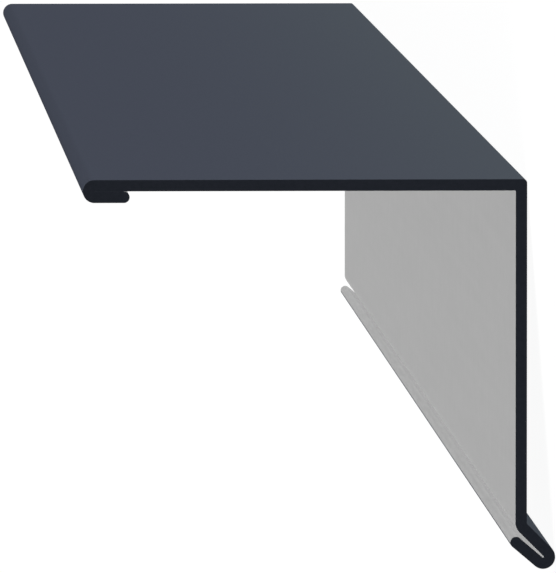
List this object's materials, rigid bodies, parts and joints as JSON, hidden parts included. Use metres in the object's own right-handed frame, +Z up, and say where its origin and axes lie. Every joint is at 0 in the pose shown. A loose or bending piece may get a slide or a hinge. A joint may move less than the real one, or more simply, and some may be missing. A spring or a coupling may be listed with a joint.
{
  "type": "roof gable trim",
  "caption": "Folded sheet-metal gable trim: a right angle of a hemmed flange and a wall that ends in a kicked-out, hemmed drip edge.",
  "frame": {"origin": "on the floor, at the middle of the trim's length and of its width as it lies", "axes": "+Z up as the trim lies on its wall; +Y along the trim's length, away from the end that the picture shows; +X the way the outside of the flange faces"},
  "size_m": [0.1098, 1, 0.1148],
  "materials": {
    "topcoat": "matt graphite-grey paint on the weather side, light grey backing coat on the inner side"
  },
  "bodies": {
    "root": {"gable_trim": "topcoat"}
  },
  "joints": []
}
